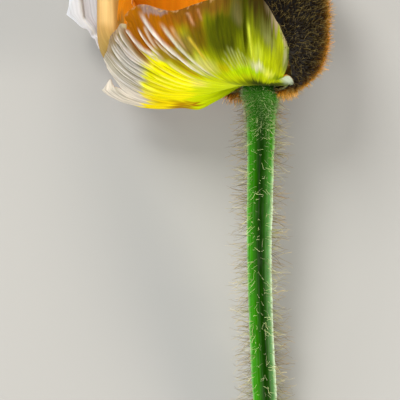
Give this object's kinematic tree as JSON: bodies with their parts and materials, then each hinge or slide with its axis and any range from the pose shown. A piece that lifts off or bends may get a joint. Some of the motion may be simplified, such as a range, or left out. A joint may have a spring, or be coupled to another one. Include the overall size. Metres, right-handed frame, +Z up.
{
  "type": "poppy flower",
  "caption": "Cut poppy flower bursting from its hairy bud cap, with crumpled lime, yellow, orange and white petals and a length of hairy stem, lying on its side.",
  "frame": {"origin": "on the table, under the middle of the whole lying flower", "axes": "+Z up from the table, +Y from the stem's cut end towards the bloom, +X to the side of the bloom that the bud's cap still holds; the bloom opens towards +Y and -X"},
  "size_m": [0.0392, 0.1046, 0.0256],
  "materials": {
    "stem": "fresh green stem tissue, slightly waxy, with stiff pale hairs",
    "petal_front": "thin crumpled petal tissue, lime to yellow to white and orange, satin",
    "petal_white": "thin crumpled white petal tissue, satin",
    "petal_cream": "smooth golden-cream petal tissue, satin",
    "petal_orange": "thin orange petal tissue, satin",
    "sepal": "dark brown-green sepal covered with golden hairs, rough",
    "ovary": "pale green seed capsule, matte",
    "stamen": "yellow-green filaments with powdery yellow anthers"
  },
  "bodies": {
    "root": {"stem": "stem", "petal_front": "petal_front", "petal_back": "petal_white", "petal_left": "petal_cream", "petal_right": "petal_orange", "sepal_right": "sepal", "sepal_back": "sepal", "ovary": "ovary", "stamen_01": "stamen", "stamen_02": "stamen", "stamen_03": "stamen", "stamen_04": "stamen", "stamen_05": "stamen", "stamen_06": "stamen", "stamen_07": "stamen", "stamen_08": "stamen", "stamen_09": "stamen", "stamen_10": "stamen", "stamen_11": "stamen", "stamen_12": "stamen", "stamen_13": "stamen", "stamen_14": "stamen", "stamen_15": "stamen", "stamen_16": "stamen", "stamen_17": "stamen", "stamen_18": "stamen", "stamen_19": "stamen", "stamen_20": "stamen"}
  },
  "joints": []
}
